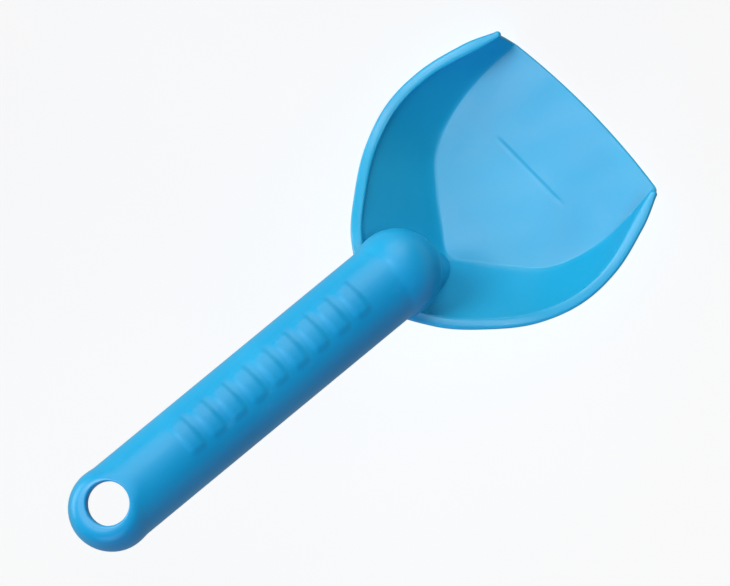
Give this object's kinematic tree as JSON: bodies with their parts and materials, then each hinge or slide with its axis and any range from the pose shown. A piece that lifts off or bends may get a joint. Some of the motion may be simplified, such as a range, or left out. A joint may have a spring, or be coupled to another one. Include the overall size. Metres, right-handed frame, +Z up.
{
  "type": "feed scoop",
  "caption": "One-hand scoop in moulded blue plastic: a shallow shield-shaped bowl with flared walls and a digging lip, on a hollow round handle with a hanging eye",
  "frame": {"origin": "below the middle of the whole scoop, on the plane of the bowl's flat base", "axes": "+X points from the handle to the digging lip, +Y to the left of someone holding the scoop, +Z up out of the bowl"},
  "size_m": [0.236, 0.1102, 0.1317],
  "materials": {
    "bowl_plastic": "glossy injection-moulded polypropylene, mid blue",
    "handle_plastic": "glossy injection-moulded polypropylene, mid blue"
  },
  "bodies": {
    "root": {"scoop_bowl": "bowl_plastic", "handle_upper_shell": "handle_plastic", "handle_lower_shell": "handle_plastic"}
  },
  "joints": []
}
